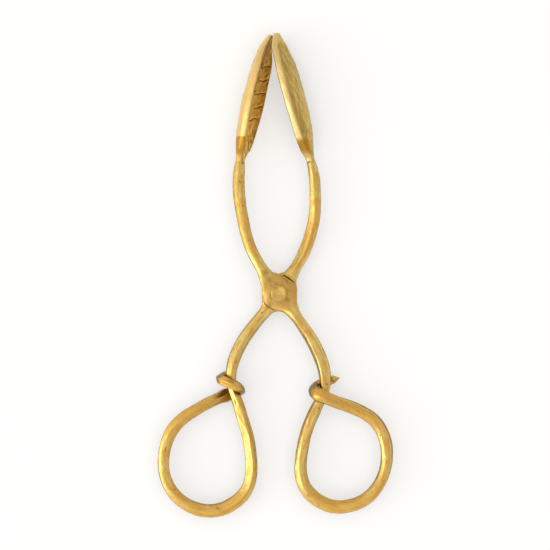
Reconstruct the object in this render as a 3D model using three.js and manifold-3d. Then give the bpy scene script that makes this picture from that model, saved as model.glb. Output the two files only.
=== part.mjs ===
// Scissor-action serving tongs in hand-worked brass.
// Units are millimetres, +Z is up. The tongs lie flat: jaw tips towards +Y, finger loops
// towards -Y, the two arms side by side along X, the pivot axis vertical.
// The lowest point of the jaws is at z = 0 and the origin is under the middle of the tongs.

import * as THREE from 'three';
import { mergeVertices } from 'three/addons/utils/BufferGeometryUtils.js';
import Module from 'manifold-3d';

// ---------------------------------------------------------------- driving dimensions
const OVERALL_LENGTH = 196.85;     // tip to loop, along Y
const OVERALL_WIDTH = 95.25;       // across both finger loops, along X
const PIVOT = [1.67, -7.09];       // rivet axis in plan
const RIVET_SHANK_R = 2.5;
const RIVET_HOLE_R = 2.8;          // hole in each boss, 0.3 clearance on the shank
const RIVET_HEAD_R = 3.35;
const RIVET_HEAD_FLAT_R = 2.6;     // flat on top of each head
const RIVET_HEAD_T = 0.45;
const RIVET_HEAD_GAP = 0.3;        // running gap under each head
const BOSS_TOP = 3.15;             // outer face of each flattened boss, from the mid plane
const JAW_TWIST = 16.1 * Math.PI / 180;   // both jaws lean the same way about their length
const JAW_HALF_DEPTH = 9.1;
const BAR_STEP = 3.1;              // spacing of the faceted bar's stations
const BAR_SIDES = 8;

// Centre line of each arm's bar, from the jaw joint to the end of the wrapped tail:
// x, y, z, half width in plan, half thickness, squareness of the section (2 is round).
const FRONT_ARM_LINE = [
  [-14.23, 45.47, 0.00, 1.78, 1.90, 2.2],
  [-14.51, 42.50, 0.00, 2.12, 2.15, 2.2],
  [-14.73, 38.85, 0.00, 2.26, 2.25, 2.2],
  [-14.59, 33.97, 0.10, 2.36, 2.30, 2.2],
  [-14.04, 29.09, 0.30, 2.32, 2.30, 2.2],
  [-13.26, 24.21, 0.60, 2.33, 2.30, 2.2],
  [-12.31, 19.33, 1.00, 2.33, 2.30, 2.2],
  [-11.03, 14.45, 1.40, 2.29, 2.30, 2.2],
  [-9.14, 9.57, 1.90, 2.28, 2.28, 2.2],
  [-6.52, 4.70, 2.25, 2.20, 2.15, 2.3],
  [-4.90, 2.01, 2.30, 2.35, 2.10, 2.5],
  [-3.26, -0.75, 2.10, 3.25, 1.85, 3.0],
  [-2.06, -2.13, 1.80, 4.40, 1.62, 3.8],
  [-1.09, -3.27, 1.65, 5.45, 1.50, 4.6],
  [1.67, -7.09, 1.65, 7.20, 1.50, 5.0],
  [4.23, -10.43, 1.65, 5.75, 1.50, 5.0],
  [6.24, -13.27, 2.10, 3.10, 1.85, 3.2],
  [7.63, -15.47, 2.30, 2.35, 2.10, 2.5],
  [8.97, -17.34, 2.25, 2.18, 2.15, 2.3],
  [10.92, -20.10, 1.95, 2.26, 2.25, 2.2],
  [13.98, -24.58, 1.50, 2.45, 2.35, 2.2],
  [16.68, -29.45, 1.00, 2.58, 2.40, 2.2],
  [18.77, -34.33, 0.50, 2.62, 2.45, 2.2],
  [19.97, -38.81, 0.10, 2.55, 2.40, 2.2],
  [20.33, -42.87, 0.00, 2.25, 2.25, 2.2],
  [20.05, -46.53, 0.00, 2.02, 2.20, 2.2],
  [18.44, -50.43, 0.00, 2.16, 2.26, 2.2],
  [15.99, -55.47, 0.00, 2.44, 2.35, 2.2],
  [13.90, -60.35, 0.00, 2.46, 2.35, 2.2],
  [12.34, -65.23, 0.00, 2.46, 2.35, 2.2],
  [11.25, -70.11, 0.00, 2.44, 2.35, 2.2],
  [10.58, -74.99, 0.00, 2.40, 2.30, 2.2],
  [10.44, -78.65, 0.00, 2.42, 2.30, 2.2],
  [10.95, -82.51, 0.00, 2.44, 2.30, 2.2],
  [12.23, -85.96, 0.00, 2.36, 2.30, 2.2],
  [14.48, -88.93, 0.00, 2.50, 2.30, 2.2],
  [17.82, -91.58, 0.00, 2.52, 2.30, 2.2],
  [22.00, -93.49, 0.00, 2.55, 2.30, 2.2],
  [26.18, -94.10, 0.00, 2.55, 2.30, 2.2],
  [30.36, -93.61, 0.00, 2.52, 2.30, 2.2],
  [33.70, -92.59, 0.00, 2.50, 2.30, 2.2],
  [37.04, -90.76, 0.00, 2.48, 2.30, 2.2],
  [39.83, -88.28, 0.00, 2.45, 2.30, 2.2],
  [42.19, -85.03, 0.00, 2.32, 2.30, 2.2],
  [44.00, -81.21, 0.00, 2.30, 2.30, 2.2],
  [45.04, -77.22, 0.00, 2.26, 2.30, 2.2],
  [45.31, -72.67, 0.00, 2.36, 2.30, 2.2],
  [44.78, -67.71, 0.00, 2.40, 2.30, 2.2],
  [43.34, -63.48, 0.00, 2.32, 2.30, 2.2],
  [41.39, -60.23, 0.00, 2.34, 2.30, 2.2],
  [38.91, -57.71, 0.10, 2.46, 2.30, 2.2],
  [35.54, -55.56, 0.30, 2.46, 2.30, 2.2],
  [32.14, -53.93, 0.70, 2.46, 2.25, 2.2],
  [28.77, -52.67, 1.40, 2.48, 2.25, 2.2],
  [25.40, -51.45, 2.50, 2.46, 2.15, 2.2],
  [22.56, -50.27, 3.70, 2.40, 2.05, 2.2],
  [19.77, -49.05, 4.50, 2.50, 1.98, 2.2],
  [17.38, -48.07, 4.00, 2.75, 1.92, 2.2],
  [15.76, -46.77, 1.00, 2.45, 1.70, 2.2],
  [16.21, -45.47, -2.50, 2.22, 1.75, 2.2],
  [18.27, -44.50, -4.45, 2.14, 1.84, 2.2],
  [20.55, -43.44, -4.45, 2.10, 1.84, 2.2],
  [22.73, -42.71, -4.05, 2.16, 1.78, 2.2],
  [24.29, -42.22, -3.20, 1.55, 1.35, 2.2],
  [25.68, -41.89, -2.80, 0.45, 0.45, 2.2],
];
const FRONT_WRAP_FROM = 51;        // first control point of the wrapped tail

const REAR_ARM_LINE = [
  [14.71, 45.92, 0.00, 1.75, 1.90, 2.2],
  [15.40, 42.91, 0.00, 2.08, 2.15, 2.2],
  [16.04, 38.85, 0.00, 2.26, 2.25, 2.2],
  [16.38, 33.97, -0.10, 2.30, 2.30, 2.2],
  [16.46, 29.09, -0.30, 2.29, 2.30, 2.2],
  [16.18, 24.21, -0.60, 2.32, 2.30, 2.2],
  [15.26, 19.33, -1.00, 2.30, 2.30, 2.2],
  [13.90, 14.45, -1.40, 2.38, 2.30, 2.2],
  [11.95, 9.57, -1.90, 2.41, 2.28, 2.2],
  [9.27, 4.70, -2.25, 2.25, 2.15, 2.3],
  [7.69, 2.09, -2.30, 2.40, 2.10, 2.5],
  [6.02, -0.51, -2.10, 3.00, 1.85, 3.2],
  [5.15, -1.73, -1.80, 4.40, 1.62, 3.6],
  [3.90, -3.76, -1.65, 6.00, 1.50, 5.0],
  [1.67, -7.09, -1.65, 6.40, 1.50, 5.0],
  [-0.84, -10.43, -1.65, 5.60, 1.50, 5.0],
  [-3.01, -13.27, -2.10, 2.65, 1.85, 3.2],
  [-4.51, -15.31, -2.30, 2.28, 2.10, 2.5],
  [-6.18, -17.26, -2.25, 2.20, 2.15, 2.3],
  [-8.19, -19.70, -1.95, 2.26, 2.25, 2.2],
  [-11.81, -24.58, -1.50, 2.40, 2.35, 2.2],
  [-14.68, -29.45, -1.00, 2.45, 2.40, 2.2],
  [-16.68, -34.33, -0.50, 2.45, 2.40, 2.2],
  [-17.71, -38.81, -0.10, 2.22, 2.30, 2.2],
  [-17.77, -42.46, 0.00, 2.02, 2.15, 2.2],
  [-17.49, -45.55, 0.00, 1.80, 2.10, 2.2],
  [-16.91, -47.67, 0.00, 1.70, 2.06, 2.2],
  [-15.76, -50.03, 0.00, 2.16, 2.25, 2.2],
  [-14.71, -53.03, 0.00, 2.32, 2.35, 2.2],
  [-13.26, -57.91, 0.00, 2.34, 2.35, 2.2],
  [-11.73, -62.79, 0.00, 2.36, 2.35, 2.2],
  [-10.50, -67.67, 0.00, 2.36, 2.35, 2.2],
  [-9.83, -72.55, 0.00, 2.36, 2.35, 2.2],
  [-9.47, -77.43, 0.00, 2.36, 2.30, 2.2],
  [-9.80, -81.90, 0.00, 2.38, 2.30, 2.2],
  [-10.86, -85.56, 0.00, 2.42, 2.30, 2.2],
  [-12.62, -88.65, 0.00, 2.56, 2.30, 2.2],
  [-15.04, -91.17, 0.00, 2.60, 2.30, 2.2],
  [-18.10, -93.32, 0.00, 2.64, 2.30, 2.2],
  [-21.45, -94.91, 0.00, 2.66, 2.30, 2.2],
  [-25.62, -95.64, 0.00, 2.68, 2.30, 2.2],
  [-29.80, -95.40, 0.00, 2.68, 2.30, 2.2],
  [-33.14, -94.42, 0.00, 2.64, 2.30, 2.2],
  [-36.48, -92.80, 0.00, 2.60, 2.30, 2.2],
  [-39.41, -90.52, 0.00, 2.54, 2.30, 2.2],
  [-41.89, -87.59, 0.00, 2.50, 2.30, 2.2],
  [-43.78, -84.05, 0.00, 2.36, 2.30, 2.2],
  [-45.01, -80.07, 0.00, 2.30, 2.30, 2.2],
  [-45.42, -75.72, 0.00, 2.28, 2.30, 2.2],
  [-45.04, -71.00, 0.00, 2.30, 2.30, 2.2],
  [-43.98, -66.90, 0.00, 2.34, 2.30, 2.2],
  [-42.14, -63.04, 0.00, 2.38, 2.30, 2.2],
  [-39.60, -59.86, 0.00, 2.40, 2.30, 2.2],
  [-36.57, -57.30, -0.10, 2.40, 2.30, 2.2],
  [-33.20, -55.23, -0.30, 2.38, 2.30, 2.2],
  [-29.86, -53.28, -0.80, 2.35, 2.25, 2.2],
  [-26.51, -51.57, -1.60, 2.34, 2.25, 2.2],
  [-23.17, -50.15, -2.80, 2.27, 2.15, 2.2],
  [-20.19, -48.89, -4.10, 2.80, 2.00, 2.2],
  [-17.32, -47.99, -4.80, 2.45, 1.92, 2.2],
  [-15.10, -47.18, -4.00, 2.08, 1.70, 2.2],
  [-13.84, -46.37, -0.90, 1.90, 1.42, 2.2],
  [-14.32, -45.47, 2.75, 1.96, 1.60, 2.2],
  [-16.15, -44.33, 4.42, 2.08, 1.76, 2.2],
  [-18.83, -43.11, 4.38, 2.10, 1.76, 2.2],
  [-21.11, -42.30, 2.95, 2.10, 1.76, 2.2],
  [-22.00, -41.81, -0.20, 2.00, 1.74, 2.2],
  [-20.78, -41.20, -3.10, 1.85, 1.66, 2.2],
  [-18.77, -40.11, -4.45, 1.70, 1.50, 2.2],
  [-17.04, -39.21, -4.45, 1.25, 1.15, 2.2],
];
const REAR_WRAP_FROM = 55;

// Leaf jaws, tip to neck: y, x of the section's middle, half depth as a share of
// JAW_HALF_DEPTH, rim thickness, crown of the back, hollow of the inside.
const LEFT_JAW_LINE = [
  [97.80, -1.75, 0.110, 1.70, 0.00, 0.00],
  [96.58, -2.20, 0.209, 1.80, 0.25, 0.10],
  [94.95, -2.85, 0.341, 2.00, 0.50, 0.30],
  [92.51, -3.65, 0.527, 2.40, 0.95, 0.70],
  [89.66, -4.00, 0.725, 2.60, 1.80, 1.40],
  [85.19, -4.65, 0.901, 2.70, 3.00, 2.30],
  [79.50, -5.99, 0.967, 2.80, 3.15, 2.60],
  [75.44, -6.86, 0.978, 2.80, 3.65, 2.90],
  [71.37, -7.66, 0.978, 2.80, 4.25, 3.10],
  [67.30, -8.52, 0.945, 2.80, 4.10, 3.00],
  [63.24, -9.46, 0.879, 2.80, 3.85, 2.70],
  [59.17, -10.40, 0.791, 2.70, 3.70, 2.40],
  [55.11, -11.35, 0.681, 2.70, 3.10, 1.80],
  [51.45, -12.30, 0.516, 2.80, 2.15, 0.90],
  [48.81, -13.45, 0.286, 2.80, 1.00, 0.20],
  [47.18, -14.02, 0.209, 2.90, 0.20, 0.00],
  [45.88, -14.20, 0.187, 2.90, 0.10, 0.00],
];

const RIGHT_JAW_LINE = [
  [98.53, 0.48, 0.110, 1.95, 0.10, 0.00],
  [97.19, 0.60, 0.209, 2.30, 0.70, 0.10],
  [95.36, 0.55, 0.330, 2.40, 1.80, 0.30],
  [92.92, 0.75, 0.516, 2.50, 2.95, 0.80],
  [89.66, 2.00, 0.725, 2.60, 3.10, 1.40],
  [85.19, 3.35, 0.901, 2.70, 3.50, 2.30],
  [79.50, 4.85, 0.978, 2.80, 3.90, 2.80],
  [75.44, 5.90, 1.000, 2.80, 4.00, 3.10],
  [71.37, 7.00, 1.000, 2.70, 4.20, 3.30],
  [67.30, 8.05, 0.967, 2.70, 4.15, 3.20],
  [63.24, 9.20, 0.901, 2.70, 3.80, 2.90],
  [59.17, 10.25, 0.791, 2.90, 3.40, 2.30],
  [55.11, 11.30, 0.659, 3.00, 2.60, 1.60],
  [51.86, 12.22, 0.473, 3.10, 1.85, 0.80],
  [49.21, 13.28, 0.297, 3.15, 0.80, 0.20],
  [47.67, 14.10, 0.209, 2.90, 0.20, 0.00],
  [46.57, 14.52, 0.187, 2.90, 0.10, 0.00],
];

// The lines above are drawn at these overall sizes; changing a driving size stretches them.
const LENGTH_SCALE = OVERALL_LENGTH / 196.85;
const WIDTH_SCALE = OVERALL_WIDTH / 95.25;

// ---------------------------------------------------------------- finishes
const brass = (color, roughness) =>
  new THREE.MeshStandardMaterial({ color, roughness, metalness: 1.0 });

// ---------------------------------------------------------------- helpers
const sgnPow = (v, p) => Math.sign(v) * Math.pow(Math.abs(v), p);

// A straight faceted prism of the given number of sides and steps; its cross-section and its
// axis are then reshaped station by station, so the result stays one closed body.
function reshapedPrism(sides, steps, place) {
  const outline = new THREE.Shape();
  for (let k = 0; k < sides; k++) {
    const a = (2 * Math.PI * k) / sides;
    if (k === 0) outline.moveTo(Math.cos(a), Math.sin(a));
    else outline.lineTo(Math.cos(a), Math.sin(a));
  }
  outline.closePath();
  const geometry = new THREE.ExtrudeGeometry(outline, { depth: 1, steps, bevelEnabled: false });
  geometry.deleteAttribute('normal');
  geometry.deleteAttribute('uv');
  const pos = geometry.getAttribute('position');
  const v = new THREE.Vector3();
  for (let i = 0; i < pos.count; i++) {
    const station = Math.round(pos.getZ(i) * steps);
    const turn = Math.atan2(pos.getY(i), pos.getX(i)) / (2 * Math.PI);
    const k = ((Math.round(turn * sides) % sides) + sides) % sides;
    place(station, k, v);
    pos.setXYZ(i, v.x, v.y, v.z);
  }
  const merged = mergeVertices(geometry, 1e-5);
  merged.computeVertexNormals();
  return merged;
}

// The bar of one arm: sections square to the centre line, upright until the wrap begins,
// then carried round the shank without twisting.
function barGeometry(line, wrapFrom) {
  const curve = new THREE.CatmullRomCurve3(
    line.map((p) => new THREE.Vector3(p[0] * WIDTH_SCALE, p[1] * LENGTH_SCALE, p[2])), false, 'centripetal');
  const length = curve.getLength();
  const up = new THREE.Vector3(0, 0, 1);
  const frames = [];
  const wrapT = wrapFrom / (line.length - 1);
  let side = null;
  let lastTangent = null;
  // stations crowd together in the wrap, where the bar turns sharply
  const ts = [];
  const wrapU = findU(curve, wrapT);
  const plainSteps = Math.round((length * wrapU) / BAR_STEP);
  const wrapSteps = Math.round((length * (1 - wrapU)) / (BAR_STEP * 0.62));
  for (let i = 0; i < plainSteps; i++) ts.push(curve.getUtoTmapping((wrapU * i) / plainSteps));
  for (let i = 0; i <= wrapSteps; i++) ts.push(curve.getUtoTmapping(wrapU + ((1 - wrapU) * i) / wrapSteps));
  for (const t of ts) {
    const centre = curve.getPoint(t);
    const tangent = curve.getTangent(t).normalize();
    if (t <= wrapT || side === null) {
      side = new THREE.Vector3().crossVectors(up, tangent).normalize();
    } else {
      const turn = new THREE.Quaternion().setFromUnitVectors(lastTangent, tangent);
      side.applyQuaternion(turn);
      side.addScaledVector(tangent, -side.dot(tangent)).normalize();
    }
    lastTangent = tangent.clone();
    const lift = new THREE.Vector3().crossVectors(tangent, side);
    frames.push({ centre, side: side.clone(), lift, size: sizeAt(line, t) });
  }
  const half = Math.PI / BAR_SIDES;
  return reshapedPrism(BAR_SIDES, frames.length - 1, (station, k, out) => {
    const f = frames[station];
    const angle = half + 2 * half * k;
    const p = 2 / f.size[2];
    const x = f.size[0] * sgnPow(Math.cos(angle) / Math.cos(half), p);
    const y = f.size[1] * sgnPow(Math.sin(angle) / Math.cos(half), p);
    out.copy(f.centre).addScaledVector(f.side, x).addScaledVector(f.lift, y);
  });
}

function findU(curve, t) {
  let lo = 0;
  let hi = 1;
  for (let i = 0; i < 40; i++) {
    const mid = (lo + hi) / 2;
    if (curve.getUtoTmapping(mid) < t) lo = mid; else hi = mid;
  }
  return (lo + hi) / 2;
}

// width, thickness and squareness between two control points
function sizeAt(line, t) {
  const s = t * (line.length - 1);
  const i = Math.min(Math.floor(s), line.length - 2);
  const w = s - i;
  return [3, 4, 5].map((c) => line[i][c] * (1 - w) + line[i + 1][c] * w);
}

// One leaf jaw: a cupped blade with a flat rim, narrowing to a stub at the neck.
// outward is -1 for the left jaw and +1 for the right.
const JAW_POINTS = [-1, -0.72, -0.38, 0, 0.38, 0.72, 1];
function jawGeometry(line, outward) {
  const n = JAW_POINTS.length;
  const cos = Math.cos(JAW_TWIST);
  const sin = Math.sin(JAW_TWIST);
  const order = outward > 0 ? line : line.slice().reverse();
  return reshapedPrism(2 * n, line.length - 1, (station, k, out) => {
    const [y, x, h, t, crown, hollow] = order[station];
    const back = k < n;
    const v = back ? JAW_POINTS[k] : JAW_POINTS[2 * n - 1 - k];
    const u = back ? t / 2 + crown * (1 - v * v) : -t / 2 + hollow * (1 - v * v);
    const w = JAW_HALF_DEPTH * h * v;
    // u runs outwards across the blade, w upwards along its depth
    out.set(x * WIDTH_SCALE + outward * u * cos - w * sin, y * LENGTH_SCALE, outward * u * sin + w * cos);
  });
}

const wasm = await Module();
wasm.setup();

function toSolid(geometry) {
  const g = geometry.clone();
  for (const name of Object.keys(g.attributes)) if (name !== 'position') g.deleteAttribute(name);
  const m = mergeVertices(g, 1e-5);
  return new wasm.Manifold(new wasm.Mesh({
    numProp: 3,
    vertProperties: new Float32Array(m.getAttribute('position').array),
    triVerts: new Uint32Array(m.index.array),
  }));
}

function toGeometry(solid) {
  const m = solid.getMesh();
  const g = new THREE.BufferGeometry();
  const pos = new Float32Array(m.numVert * 3);
  for (let i = 0; i < m.numVert; i++)
    for (let c = 0; c < 3; c++) pos[i * 3 + c] = m.vertProperties[i * m.numProp + c];
  g.setAttribute('position', new THREE.BufferAttribute(pos, 3));
  g.setIndex(Array.from(m.triVerts));
  g.computeVertexNormals();
  return g;
}

// hole through a boss for the rivet
function drilled(geometry) {
  const drill = new THREE.CylinderGeometry(RIVET_HOLE_R, RIVET_HOLE_R, 20, 20);
  drill.rotateX(Math.PI / 2);
  drill.translate(PIVOT[0], PIVOT[1], 0);
  return toGeometry(toSolid(geometry).subtract(toSolid(drill)));
}

function rivetGeometry() {
  const head = BOSS_TOP + RIVET_HEAD_GAP;
  const top = head + RIVET_HEAD_T;
  const profile = [
    [0, -top], [RIVET_HEAD_FLAT_R, -top], [RIVET_HEAD_R, -top + 0.22], [RIVET_HEAD_R, -head],
    [RIVET_SHANK_R, -head], [RIVET_SHANK_R, head],
    [RIVET_HEAD_R, head], [RIVET_HEAD_R, top - 0.22], [RIVET_HEAD_FLAT_R, top], [0, top],
  ].map(([r, z]) => new THREE.Vector2(r, z));
  const g = new THREE.LatheGeometry(profile, 20);
  g.rotateX(Math.PI / 2);
  g.translate(PIVOT[0], PIVOT[1], 0);
  return g;
}

// ---------------------------------------------------------------- assembly
const tongs = new THREE.Group();
function add(name, geometry, material) {
  const mesh = new THREE.Mesh(geometry, material);
  mesh.name = name;
  tongs.add(mesh);
  return mesh;
}

add('arm_front', drilled(barGeometry(FRONT_ARM_LINE, FRONT_WRAP_FROM)), brass(0xdcae5c, 0.34));
add('arm_rear', drilled(barGeometry(REAR_ARM_LINE, REAR_WRAP_FROM)), brass(0xd9aa58, 0.34));
add('jaw_left', jawGeometry(LEFT_JAW_LINE, -1), brass(0xcf9440, 0.4));
add('jaw_right', jawGeometry(RIGHT_JAW_LINE, 1), brass(0xc89a4c, 0.4));
add('pivot_rivet', rivetGeometry(), brass(0xd8ab5c, 0.38));

// rest on z = 0, centred in plan
const box = new THREE.Box3().setFromObject(tongs);
tongs.position.set(-(box.min.x + box.max.x) / 2, -(box.min.y + box.max.y) / 2, -box.min.z);

export default tongs;
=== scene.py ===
# Scissor-action brass serving tongs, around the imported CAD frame.
# The fine surface of each piece is built here on the same centre lines as the CAD solids:
# hand-forged bars with soft lengthwise facets, cupped leaf jaws with veins, a peened rivet.
import math

import bpy
import numpy as np
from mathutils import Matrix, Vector


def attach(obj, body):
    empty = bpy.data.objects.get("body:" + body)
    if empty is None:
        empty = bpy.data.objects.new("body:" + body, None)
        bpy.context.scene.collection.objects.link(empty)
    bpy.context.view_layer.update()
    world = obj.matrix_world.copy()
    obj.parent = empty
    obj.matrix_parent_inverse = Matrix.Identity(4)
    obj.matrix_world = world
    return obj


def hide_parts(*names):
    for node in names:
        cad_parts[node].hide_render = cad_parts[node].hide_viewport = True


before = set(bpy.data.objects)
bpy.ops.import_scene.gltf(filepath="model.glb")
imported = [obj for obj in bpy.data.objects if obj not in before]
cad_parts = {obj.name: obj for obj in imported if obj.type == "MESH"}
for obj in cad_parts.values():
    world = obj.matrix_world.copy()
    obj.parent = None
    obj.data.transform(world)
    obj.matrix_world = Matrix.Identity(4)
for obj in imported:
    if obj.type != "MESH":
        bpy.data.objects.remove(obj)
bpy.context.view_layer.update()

# ------------------------------------------------------------------ shared dimensions, mm
OFFSET = np.array([0.00661, -0.10780, 9.13133])     # of the drawn lines to the row frame
PIVOT = np.array([1.67, -7.09])
BOSS_TOP = 3.15
RIVET_HOLE_R = 2.8
RIVET_HEAD_R = 3.35
RIVET_TOP = 3.90
JAW_TWIST = math.radians(16.1)
JAW_HALF_DEPTH = 9.1

# x, y, z, half width, half thickness, squareness: jaw joint to the end of the wrapped tail
FRONT_ARM_LINE = [
    (-14.23, 45.47, 0, 1.78, 1.9, 2.2),
    (-14.51, 42.5, 0, 2.12, 2.15, 2.2),
    (-14.73, 38.85, 0, 2.26, 2.25, 2.2),
    (-14.59, 33.97, 0.1, 2.36, 2.3, 2.2),
    (-14.04, 29.09, 0.3, 2.32, 2.3, 2.2),
    (-13.26, 24.21, 0.6, 2.33, 2.3, 2.2),
    (-12.31, 19.33, 1, 2.33, 2.3, 2.2),
    (-11.03, 14.45, 1.4, 2.29, 2.3, 2.2),
    (-9.14, 9.57, 1.9, 2.28, 2.28, 2.2),
    (-6.52, 4.7, 2.25, 2.2, 2.15, 2.3),
    (-4.9, 2.01, 2.3, 2.35, 2.1, 2.5),
    (-3.26, -0.75, 2.1, 3.25, 1.85, 3),
    (-2.06, -2.13, 1.8, 4.4, 1.62, 3.8),
    (-1.09, -3.27, 1.65, 5.45, 1.5, 4.6),
    (1.67, -7.09, 1.65, 7.2, 1.5, 5),
    (4.23, -10.43, 1.65, 5.75, 1.5, 5),
    (6.24, -13.27, 2.1, 3.1, 1.85, 3.2),
    (7.63, -15.47, 2.3, 2.35, 2.1, 2.5),
    (8.97, -17.34, 2.25, 2.18, 2.15, 2.3),
    (10.92, -20.1, 1.95, 2.26, 2.25, 2.2),
    (13.98, -24.58, 1.5, 2.45, 2.35, 2.2),
    (16.68, -29.45, 1, 2.58, 2.4, 2.2),
    (18.77, -34.33, 0.5, 2.62, 2.45, 2.2),
    (19.97, -38.81, 0.1, 2.55, 2.4, 2.2),
    (20.33, -42.87, 0, 2.25, 2.25, 2.2),
    (20.05, -46.53, 0, 2.02, 2.2, 2.2),
    (18.44, -50.43, 0, 2.16, 2.26, 2.2),
    (15.99, -55.47, 0, 2.44, 2.35, 2.2),
    (13.9, -60.35, 0, 2.46, 2.35, 2.2),
    (12.34, -65.23, 0, 2.46, 2.35, 2.2),
    (11.25, -70.11, 0, 2.44, 2.35, 2.2),
    (10.58, -74.99, 0, 2.4, 2.3, 2.2),
    (10.44, -78.65, 0, 2.42, 2.3, 2.2),
    (10.95, -82.51, 0, 2.44, 2.3, 2.2),
    (12.23, -85.96, 0, 2.36, 2.3, 2.2),
    (14.48, -88.93, 0, 2.5, 2.3, 2.2),
    (17.82, -91.58, 0, 2.52, 2.3, 2.2),
    (22, -93.49, 0, 2.55, 2.3, 2.2),
    (26.18, -94.1, 0, 2.55, 2.3, 2.2),
    (30.36, -93.61, 0, 2.52, 2.3, 2.2),
    (33.7, -92.59, 0, 2.5, 2.3, 2.2),
    (37.04, -90.76, 0, 2.48, 2.3, 2.2),
    (39.83, -88.28, 0, 2.45, 2.3, 2.2),
    (42.19, -85.03, 0, 2.32, 2.3, 2.2),
    (44, -81.21, 0, 2.3, 2.3, 2.2),
    (45.04, -77.22, 0, 2.26, 2.3, 2.2),
    (45.31, -72.67, 0, 2.36, 2.3, 2.2),
    (44.78, -67.71, 0, 2.4, 2.3, 2.2),
    (43.34, -63.48, 0, 2.32, 2.3, 2.2),
    (41.39, -60.23, 0, 2.34, 2.3, 2.2),
    (38.91, -57.71, 0.1, 2.46, 2.3, 2.2),
    (35.54, -55.56, 0.3, 2.46, 2.3, 2.2),
    (32.14, -53.93, 0.7, 2.46, 2.25, 2.2),
    (28.77, -52.67, 1.4, 2.48, 2.25, 2.2),
    (25.4, -51.45, 2.5, 2.46, 2.15, 2.2),
    (22.56, -50.27, 3.7, 2.4, 2.05, 2.2),
    (19.77, -49.05, 4.5, 2.5, 1.98, 2.2),
    (17.38, -48.07, 4, 2.75, 1.92, 2.2),
    (15.76, -46.77, 1, 2.45, 1.7, 2.2),
    (16.21, -45.47, -2.5, 2.22, 1.75, 2.2),
    (18.27, -44.5, -4.45, 2.14, 1.84, 2.2),
    (20.55, -43.44, -4.45, 2.1, 1.84, 2.2),
    (22.73, -42.71, -4.05, 2.16, 1.78, 2.2),
    (24.29, -42.22, -3.2, 1.55, 1.35, 2.2),
    (25.68, -41.89, -2.8, 0.45, 0.45, 2.2),
]
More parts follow.
